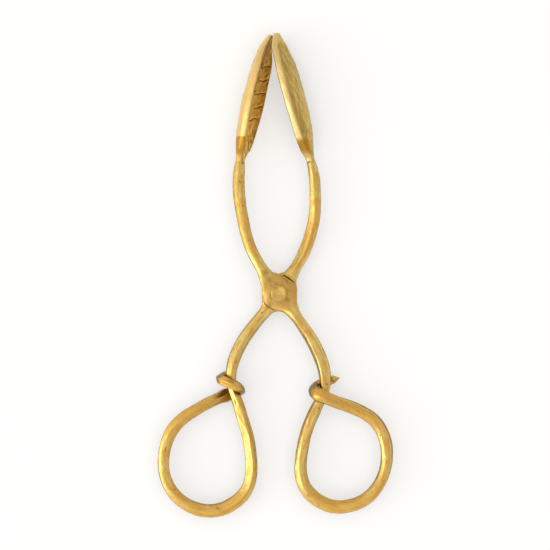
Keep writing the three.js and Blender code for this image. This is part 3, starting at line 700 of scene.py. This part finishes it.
# ------------------------------------------------------------------ the rivet
def rivet(name):
    """A peened rivet: low heads set into both bosses, each dished by the punch."""
    rng = np.random.default_rng(5)
    top = [
        (0.0, 3.66), (0.5, 3.66), (1.0, 3.67), (1.5, 3.69), (1.9, 3.73), (2.2, 3.78), (2.45, 3.82), (2.7, 3.83),
        (2.95, 3.80), (3.12, 3.75), (3.25, 3.69), (3.34, 3.64), (3.38, 3.61), (3.38, 3.59), (3.30, 3.575),
    ]
    prof = [(0.0, -z) if r == 0 else (r, -z) for r, z in top]
    prof += [(2.6, -3.57), (2.45, -3.54), (2.42, -3.3), (2.42, 3.3), (2.45, 3.54), (2.6, 3.57)]
    prof += [(r, z) for r, z in top[::-1]]
    ring = 96
    ang = np.linspace(0, 2 * np.pi, ring, endpoint=False)
    verts, faces, flow = [], [], []
    index = []
    for i, (r, z) in enumerate(prof):
        if r == 0:
            index.append([len(verts)])
            verts.append((0, 0, z)); flow.append((0, 0, z))
        else:
            row = []
            for t in ang:
                wob = 1 + 0.018 * math.sin(2 * t + 0.6) + 0.012 * math.sin(3 * t + 1.9) if r > 2.7 and abs(z) > 3.57 else 1
                row.append(len(verts))
                x, y = r * wob * math.cos(t), r * wob * math.sin(t)
                verts.append((x, y, z)); flow.append((x, y, z))
            index.append(row)
    for a, b in zip(index[:-1], index[1:]):
        for k in range(ring):
            k2 = (k + 1) % ring
            if len(a) == 1:
                faces.append((a[0], b[k], b[k2]))
            elif len(b) == 1:
                faces.append((a[k], b[0], a[k2]))
            else:
                faces.append((a[k], b[k], b[k2], a[k2]))
    verts = np.array(verts, float)
    flow = np.array(flow, float)
    # the dish is a little off centre and uneven
    d = np.hypot(verts[:, 0] + 0.25, verts[:, 1] + 0.2)
    face = (np.abs(verts[:, 2]) > 3.60) & (np.hypot(verts[:, 0], verts[:, 1]) < 3.2)
    bump = 0.05 * noise3(np.stack([verts[:, 0] * 0.9, verts[:, 1] * 0.9, np.sign(verts[:, 2]) * 5], 1))
    verts[:, 2] += np.where(face, np.sign(verts[:, 2]) * (0.8 * bump * (1 - smooth(np.hypot(verts[:, 0], verts[:, 1]), 2.2, 3.2)) - 0.05 * (1 - smooth(d, 0.5, 2.2))), 0)
    pos = verts + np.array([PIVOT[0], PIVOT[1], 0]) + OFFSET
    rr = np.hypot(verts[:, 0], verts[:, 1])
    # painted shade round the foot of the head, where it meets the boss
    crease = smooth(rr, 3.0, 3.36) * 0.42
    ob = make_mesh(name, pos, faces, {"flow": flow, "crease": crease, "pit": np.zeros(len(pos)), "boss": 0.45 + 0.45 * smooth(rr, 1.9, 2.8)})
    outward(ob)
    add_up(ob)
    return ob


# ------------------------------------------------------------------ materials
def nodes_of(name):
    mat = bpy.data.materials.new(name)
    mat.use_nodes = True
    nt = mat.node_tree
    for n in list(nt.nodes):
        nt.nodes.remove(n)
    out = nt.nodes.new("ShaderNodeOutputMaterial")
    bsdf = nt.nodes.new("ShaderNodeBsdfPrincipled")
    nt.links.new(bsdf.outputs[0], out.inputs[0])
    return mat, nt, bsdf


def attr(nt, name, output="Fac"):
    n = nt.nodes.new("ShaderNodeAttribute")
    n.attribute_name = name
    return n.outputs[output]


def scaled(nt, vec, k, shift=(0, 0, 0)):
    n = nt.nodes.new("ShaderNodeVectorMath")
    n.operation = "MULTIPLY_ADD"
    nt.links.new(vec, n.inputs[0])
    n.inputs[1].default_value = k
    n.inputs[2].default_value = shift
    return n.outputs[0]


def noise(nt, vec, scale=1.0, detail=3.0, rough=0.55, distort=0.0):
    n = nt.nodes.new("ShaderNodeTexNoise")
    nt.links.new(vec, n.inputs["Vector"])
    n.inputs["Scale"].default_value = scale
    n.inputs["Detail"].default_value = detail
    n.inputs["Roughness"].default_value = rough
    n.inputs["Distortion"].default_value = distort
    return n.outputs["Fac"]


def ranged(nt, value, a, b, lo=0.0, hi=1.0):
    n = nt.nodes.new("ShaderNodeMapRange")
    n.interpolation_type = "SMOOTHSTEP"
    nt.links.new(value, n.inputs["Value"])
    n.inputs["From Min"].default_value, n.inputs["From Max"].default_value = a, b
    n.inputs["To Min"].default_value, n.inputs["To Max"].default_value = lo, hi
    return n.outputs["Result"]


def calc(nt, op, a, b=None, clamp=False):
    n = nt.nodes.new("ShaderNodeMath")
    n.operation, n.use_clamp = op, clamp
    for i, v in enumerate((a, b)):
        if v is None:
            continue
        if isinstance(v, (int, float)):
            n.inputs[i].default_value = v
        else:
            nt.links.new(v, n.inputs[i])
    return n.outputs[0]


def mixed(nt, fac, a, b, blend="MIX"):
    n = nt.nodes.new("ShaderNodeMix")
    n.data_type, n.blend_type, n.clamp_factor = "RGBA", blend, True
    if isinstance(fac, (int, float)):
        n.inputs[0].default_value = fac
    else:
        nt.links.new(fac, n.inputs[0])
    for i, v in ((6, a), (7, b)):
        if isinstance(v, tuple):
            n.inputs[i].default_value = (*v, 1)
        else:
            nt.links.new(v, n.inputs[i])
    return n.outputs[2]


PALE = (0.93, 0.77, 0.29)
GOLD = (0.88, 0.60, 0.17)
TAN = (0.80, 0.47, 0.11)
ORANGE = (0.76, 0.40, 0.085)
BROWN = (0.16, 0.075, 0.016)
# painted shade colour for the dark outlines down the sides of bars and jaws
SIDE_SHADE = (0.155, 0.090, 0.022)


def brass(name, warm=0.5, rough=(0.26, 0.42), bump=0.06, dull=0.0):
    mat, nt, bsdf = nodes_of(name)
    flow = attr(nt, "flow", "Vector")
    crease = attr(nt, "crease")
    pit = attr(nt, "pit")
    up = attr(nt, "up")
    big = noise(nt, scaled(nt, flow, (0.055, 0.16, 0.16)), 1.0, 3.0, 0.55)
    mid = noise(nt, scaled(nt, flow, (0.20, 0.62, 0.62), (3.1, 1.7, 9.2)), 1.0, 4.0, 0.6, 0.6)
    lines = noise(nt, scaled(nt, flow, (0.11, 1.7, 1.7), (8.0, 2.0, 4.0)), 1.0, 3.0, 0.6, 0.5)
    grain = noise(nt, scaled(nt, flow, (1.6, 2.8, 2.8)), 1.0, 5.0, 0.65)
    # tone: pale polished brass, warmer gold, tan to orange where the polish has worn
    c = mixed(nt, ranged(nt, big, 0.41, 0.60), PALE, GOLD)
    c = mixed(nt, calc(nt, "MULTIPLY", ranged(nt, mid, 0.46, 0.62), 0.72 + 0.28 * warm), c, TAN)
    c = mixed(nt, calc(nt, "MULTIPLY", ranged(nt, lines, 0.49, 0.62), 0.48 + 0.2 * warm), c, ORANGE)
    c = mixed(nt, calc(nt, "MULTIPLY", ranged(nt, grain, 0.52, 0.70), 0.22), c, ORANGE)
    # the finger loops are worn warmer than the bows
    sep = nt.nodes.new("ShaderNodeSeparateXYZ")
    nt.links.new(flow, sep.inputs[0])
    loops = ranged(nt, sep.outputs[0], 50.0, 125.0)
    c = mixed(nt, calc(nt, "MULTIPLY", loops, calc(nt, "ADD", 0.28, calc(nt, "MULTIPLY", ranged(nt, mid, 0.40, 0.62), 0.45))), c, (0.80, 0.45, 0.10))
    # the hammered boss is duller and browner, most of all towards its left corner
    boss = attr(nt, "boss")
    blot = noise(nt, scaled(nt, flow, (0.30, 0.34, 0.34), (2.0, 7.0, 1.0)), 1.0, 4.0, 0.62, 0.5)
    c = mixed(nt, calc(nt, "MULTIPLY", boss, 0.75), c, (0.66, 0.42, 0.125))
    c = mixed(nt, calc(nt, "MULTIPLY", boss, calc(nt, "MULTIPLY", ranged(nt, blot, 0.50, 0.66), 0.62)), c, (0.36, 0.195, 0.045))
    # a few soft stains and pocks
    spots = noise(nt, scaled(nt, flow, (0.42, 0.85, 0.85), (5.0, 5.0, 1.0)), 1.0, 3.0, 0.6)
    c = mixed(nt, calc(nt, "MULTIPLY", ranged(nt, spots, 0.62, 0.76), 0.42), c, (0.40, 0.20, 0.05))
    c = mixed(nt, calc(nt, "MULTIPLY", pit, 0.6), c, BROWN)
    # painted shade: a thin dark outline down the sides, where the surface turns away from up
    flank = ranged(nt, calc(nt, "ADD", up, calc(nt, "MULTIPLY", calc(nt, "SUBTRACT", mid, 0.5), 0.6)), 0.70, 0.36)
    c = mixed(nt, calc(nt, "MULTIPLY", flank, 0.88), c, SIDE_SHADE)
    # painted shade in the creases between strands, along the pad edges and round the rivet head, mottled by the grain;
    # it also roughens the surface there
    crease_shade = calc(nt, "ADD", crease, calc(nt, "MULTIPLY", calc(nt, "SUBTRACT", grain, 0.5), 0.5))
    crease_shade = ranged(nt, crease_shade, 0.25, 0.85)
    c = mixed(nt, calc(nt, "MULTIPLY", crease_shade, 0.88), c, BROWN)
    nt.links.new(c, bsdf.inputs["Base Color"])
    bsdf.inputs["Metallic"].default_value = 1.0
    r = ranged(nt, calc(nt, "ADD", calc(nt, "MULTIPLY", mid, 0.6), calc(nt, "MULTIPLY", grain, 0.4)), 0.35, 0.65, rough[0] + dull, rough[1] + dull)
    r = calc(nt, "ADD", r, calc(nt, "MULTIPLY", crease_shade, 0.25), True)
    r = calc(nt, "ADD", r, calc(nt, "MULTIPLY", boss, 0.12), True)
    nt.links.new(r, bsdf.inputs["Roughness"])
    h = calc(nt, "ADD", calc(nt, "MULTIPLY", grain, 0.6), calc(nt, "MULTIPLY", lines, 0.7))
    b = nt.nodes.new("ShaderNodeBump")
    b.inputs["Strength"].default_value = 0.4
    b.inputs["Distance"].default_value = bump / 1000.0
    nt.links.new(h, b.inputs["Height"])
    nt.links.new(b.outputs[0], bsdf.inputs["Normal"])
    return mat


def jaw_brass(name, back_a, back_b, streak, streak_k, rim_color, side_shade_k, side_shade_up):
    mat, nt, bsdf = nodes_of(name)
    flow = attr(nt, "flow", "Vector")
    crease, inside, rimness, neck, up, root, back = (
        attr(nt, k) for k in ("crease", "inside", "rimness", "neck", "up", "root", "back"))
    big = noise(nt, scaled(nt, flow, (0.10, 0.30, 0.30)), 1.0, 4.0, 0.6)
    mid = noise(nt, scaled(nt, flow, (0.35, 0.8, 0.8), (3.1, 1.7, 9.2)), 1.0, 4.0, 0.6)
    lines = noise(nt, scaled(nt, flow, (0.13, 1.5, 1.5), (8.0, 2.0, 4.0)), 1.0, 4.0, 0.6, 0.8)
    grain = noise(nt, scaled(nt, flow, (2.0, 2.6, 2.6)), 1.0, 5.0, 0.65)
    c = mixed(nt, ranged(nt, big, 0.36, 0.66), back_a, back_b)
    c = mixed(nt, calc(nt, "MULTIPLY", ranged(nt, lines, 0.47, 0.66), streak_k), c, streak)
    # mottled towards the neck
    c = mixed(nt, calc(nt, "MULTIPLY", calc(nt, "MULTIPLY", root, back), ranged(nt, mid, 0.48, 0.62)), c, (0.33, 0.19, 0.045))
    # inside face: deeper and redder as painted shade and painted brass-to-brass reflection of the hollow, mottled brown
    # towards the neck
    inside_shade_colour = mixed(nt, ranged(nt, mid, 0.42, 0.68), (0.82, 0.48, 0.075), (0.68, 0.37, 0.045))
    inside_shade_colour = mixed(nt, calc(nt, "MULTIPLY", root, ranged(nt, mid, 0.44, 0.60)), inside_shade_colour, (0.30, 0.165, 0.035))
    c = mixed(nt, inside, c, inside_shade_colour)
    # polished rim
    rim = mixed(nt, calc(nt, "MULTIPLY", ranged(nt, lines, 0.45, 0.68), 0.5), rim_color, (0.90, 0.62, 0.24))
    c = mixed(nt, calc(nt, "MULTIPLY", rimness, 0.92), c, rim)
    # fire-stained neck
    fire = mixed(nt, ranged(nt, mid, 0.40, 0.62), (0.47, 0.22, 0.012), (0.56, 0.28, 0.024))
    c = mixed(nt, calc(nt, "MULTIPLY", neck, 0.92), c, fire)
    # painted shade: the sides that turn away from up are darker, most strongly on the right jaw
    flank = ranged(nt, calc(nt, "ADD", up, calc(nt, "MULTIPLY", calc(nt, "SUBTRACT", mid, 0.5), 0.25)), side_shade_up, 0.0)
    c = mixed(nt, calc(nt, "MULTIPLY", flank, side_shade_k), c, SIDE_SHADE)
    # painted shade in the grip notches and between the veins, mottled by the grain
    crease_shade = calc(nt, "ADD", crease, calc(nt, "MULTIPLY", calc(nt, "SUBTRACT", grain, 0.5), 0.4))
    crease_shade = ranged(nt, crease_shade, 0.25, 0.8)
    c = mixed(nt, calc(nt, "MULTIPLY", crease_shade, 0.85), c, BROWN)
    nt.links.new(c, bsdf.inputs["Base Color"])
    bsdf.inputs["Metallic"].default_value = 1.0
    r = ranged(nt, calc(nt, "ADD", calc(nt, "MULTIPLY", mid, 0.6), calc(nt, "MULTIPLY", grain, 0.4)), 0.35, 0.65, 0.32, 0.50)
    nt.links.new(r, bsdf.inputs["Roughness"])
    h = calc(nt, "ADD", calc(nt, "MULTIPLY", grain, 0.7), calc(nt, "MULTIPLY", lines, 0.7))
    b = nt.nodes.new("ShaderNodeBump")
    b.inputs["Strength"].default_value = 0.45
    b.inputs["Distance"].default_value = 0.0001
    nt.links.new(h, b.inputs["Height"])
    nt.links.new(b.outputs[0], bsdf.inputs["Normal"])
    return mat


# ------------------------------------------------------------------ build the object
front = bar("arm_front_forged", FRONT_ARM_LINE, FRONT_WRAP_FROM, 3, 8, math.pi / 2)
rear = bar("arm_rear_forged", REAR_ARM_LINE, REAR_WRAP_FROM, 8, 6, math.pi / 2 + math.pi / 6)
crown_pads(front, 1)
crown_pads(rear, -1)
bars = [front, rear]
mat_front = brass("bar_brass_front", 0.4)
mat_rear = brass("bar_brass_rear", 0.6)
# one jaw brass as a lit copy and a shaded copy: the left jaw's back painted pale as lit, the right jaw's back painted
# darker olive as shade, its paler streaks partly grain and partly painted highlight, and its sides given stronger
# painted shade
mat_jaw_left_lit = jaw_brass("jaw_brass_left_lit", (0.92, 0.67, 0.26), (0.86, 0.57, 0.20), (0.74, 0.45, 0.13), 0.50, (0.90, 0.65, 0.25), 0.45, 0.22)
mat_jaw_right_shaded = jaw_brass("jaw_brass_right_shaded", (0.62, 0.44, 0.125), (0.50, 0.345, 0.092), (0.84, 0.66, 0.27), 0.55, (0.88, 0.68, 0.30), 0.88, 0.38)
mat_rivet = brass("rivet_brass_peened", 0.3, (0.34, 0.46), 0.05, 0.06)

made = {}
for info, body, node, mat in ((front, "front_half", "arm_front", mat_front), (rear, "rear_half", "arm_rear", mat_rear)):
    crease = crease_of(info, bars)
    # the two arms part on the mid plane under the boss: no painted crease shade on the open faces there
    d = np.hypot(info["verts"][:, 0] - PIVOT[0], info["verts"][:, 1] - PIVOT[1])
    sign = 1 if node == "arm_front" else -1
    away = smooth(sign * info["verts"][:, 2], 0.6, 2.6)
    crease = crease * np.where(d < 14, 1 - away, 1)
    # painted shadow along the edge of the other arm's pad, added to the painted crease shade
    seam_shadow = pad_seam_shadow(info, rear if node == "arm_front" else front, sign)
    px, py = info["verts"][:, 0], info["verts"][:, 1]
    seam_shadow = seam_shadow * (1 - smooth(px, 4.0, 5.5) * smooth(-py, 2.6, 3.4) * (1 - smooth(-py, 9.0, 11.0)))
    crease = np.maximum(crease, seam_shadow)
    # brown stain over the upper left of the boss, a duller patch below the rivet
    stain = noise3(info["verts"] * 0.55 + 7.0)
    boss_darkening = 0.75 * np.exp(-(((px + 4.3) / 1.9) ** 2 + ((py - 0.6) / 1.7) ** 2)) + 0.5 * np.exp(-(((px + 2.9) / 1.6) ** 2 + ((py + 3.0) / 2.2) ** 2))
    boss_darkening = boss_darkening * np.clip(0.75 + 1.6 * stain, 0, 1.4) + 0.30 * np.exp(-(((px - 3.1) / 2.3) ** 2 + ((py + 11.2) / 1.8) ** 2))
    info["pit"] = np.clip(np.maximum(info["pit"], boss_darkening * (info["verts"][:, 2] * sign > 0)), 0, 1)
    ob = make_mesh(info["name"], info["verts"] + OFFSET, info["faces"], {"flow": info["flow"], "crease": crease, "pit": info["pit"], "boss": 1 - smooth(d, 6.0, 9.0)})
    outward(ob)
    drill(ob, RIVET_HOLE_R - 0.25)
    add_up(ob)
    ob.data.materials.clear()
    ob.data.materials.append(mat)
    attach(ob, body)
    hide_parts(node)
    made[node] = ob

for name, line, o, body, node, seed, top, mat in (
    ("jaw_left_leaf", LEFT_JAW_LINE, -1, "front_half", "jaw_left", 2, 56.5, mat_jaw_left_lit),
    ("jaw_right_leaf", RIGHT_JAW_LINE, 1, "rear_half", "jaw_right", 6, 50.5, mat_jaw_right_shaded),
):
    ob = jaw(name, line, o, seed, top)
    ob.data.materials.append(mat)
    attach(ob, body)
    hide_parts(node)
    made[node] = ob

ob = rivet("pivot_rivet_peened")
ob.data.materials.append(mat_rivet)
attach(ob, "rear_half")
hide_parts("pivot_rivet")

# ------------------------------------------------------------------ floor, light, camera
def plain(name, color, rough, glow):
    mat, nt, bsdf = nodes_of(name)
    n = nt.nodes.new("ShaderNodeTexNoise")
    n.inputs["Scale"].default_value = 3.0
    c = mixed(nt, n.outputs["Fac"], tuple(v * 0.995 for v in color), color)
    nt.links.new(c, bsdf.inputs["Base Color"])
    bsdf.inputs["Roughness"].default_value = rough
    bsdf.inputs["Specular IOR Level"].default_value = 0.0
    # a lit table: part of its white is its own
    bsdf.inputs["Emission Color"].default_value = (1.0, 1.0, 1.0, 1)
    bsdf.inputs["Emission Strength"].default_value = glow
    return mat


bpy.ops.mesh.primitive_circle_add(vertices=96, radius=4.0, fill_type="NGON", location=(0, 0, -0.0002))
floor = bpy.context.object
floor.name = "floor"
floor.data.materials.append(plain("floor_pale", (0.42, 0.42, 0.42), 0.9, 0.46))
floor.visible_glossy = True

scene = bpy.context.scene
world = bpy.data.worlds.new("studio")
scene.world = world
world.use_nodes = True
wt = world.node_tree
for n in list(wt.nodes):
    wt.nodes.remove(n)
wout = wt.nodes.new("ShaderNodeOutputWorld")
coord = wt.nodes.new("ShaderNodeTexCoord")


def toward(direction):
    d = Vector(direction).normalized()
    n = wt.nodes.new("ShaderNodeVectorMath")
    n.operation = "DOT_PRODUCT"
    wt.links.new(coord.outputs["Generated"], n.inputs[0])
    n.inputs[1].default_value = d
    return n.outputs["Value"]


def wmix(fac, a, b):
    return mixed(wt, fac, a, b)


sky = (0.70, 0.655, 0.595)
left = ranged(wt, toward((-0.86, -0.28, 0.42)), 0.05, 0.85)
right = ranged(wt, toward((0.90, 0.20, 0.35)), 0.30, 0.95)
below = ranged(wt, toward((0, 0, -1)), -0.10, 0.22)
c = wmix(left, sky, (0.92, 0.88, 0.81))
c = wmix(calc(wt, "MULTIPLY", right, 0.5), c, (0.56, 0.49, 0.41))
c = wmix(below, c, (0.30, 0.29, 0.27))
light_bg = wt.nodes.new("ShaderNodeBackground")
wt.links.new(c, light_bg.inputs["Color"])
light_bg.inputs["Strength"].default_value = 1.0
seen_bg = wt.nodes.new("ShaderNodeBackground")
seen_bg.inputs["Color"].default_value = (0.93, 0.93, 0.93, 1)
path = wt.nodes.new("ShaderNodeLightPath")
pick = wt.nodes.new("ShaderNodeMixShader")
wt.links.new(path.outputs["Is Camera Ray"], pick.inputs[0])
wt.links.new(light_bg.outputs[0], pick.inputs[1])
wt.links.new(seen_bg.outputs[0], pick.inputs[2])
wt.links.new(pick.outputs[0], wout.inputs["Surface"])


def area(name, loc, target, size, power, color=(1, 1, 1), glossy=True):
    data = bpy.data.lights.new(name, "AREA")
    data.shape, data.size, data.size_y = "RECTANGLE", size[0], size[1]
    data.energy, data.color = power, color
    ob = bpy.data.objects.new(name, data)
    scene.collection.objects.link(ob)
    ob.location = loc
    ob.rotation_euler = (Vector(target) - Vector(loc)).to_track_quat("-Z", "Y").to_euler()
    ob.visible_glossy = glossy
    return ob


area("fill_overhead", (0, 0, 1.6), (0, 0, 0), (1.6, 1.6), 16.0, glossy=False)
area("softbox_left", (-0.75, -0.25, 0.55), (0, 0, 0.01), (0.5, 0.9), 2.4, (1, 0.98, 0.92))

cam = bpy.data.cameras.new("camera")
cam.lens, cam.sensor_width = 135.0, 36.0
cam_ob = bpy.data.objects.new("camera", cam)
scene.collection.objects.link(cam_ob)
span = 196.85 / 484.3 * 550 / 1000.0
dist = span * cam.lens / cam.sensor_width
cam_ob.location = (0.0, 0.00010, dist + 0.009)
cam_ob.rotation_euler = (0, 0, 0)
cam.dof.use_dof = False
cam.clip_end = 50
scene.camera = cam_ob
scene.view_settings.view_transform = "Standard"
scene.view_settings.look = "None"
scene.view_settings.exposure = 0.0
scene.view_settings.gamma = 1.0
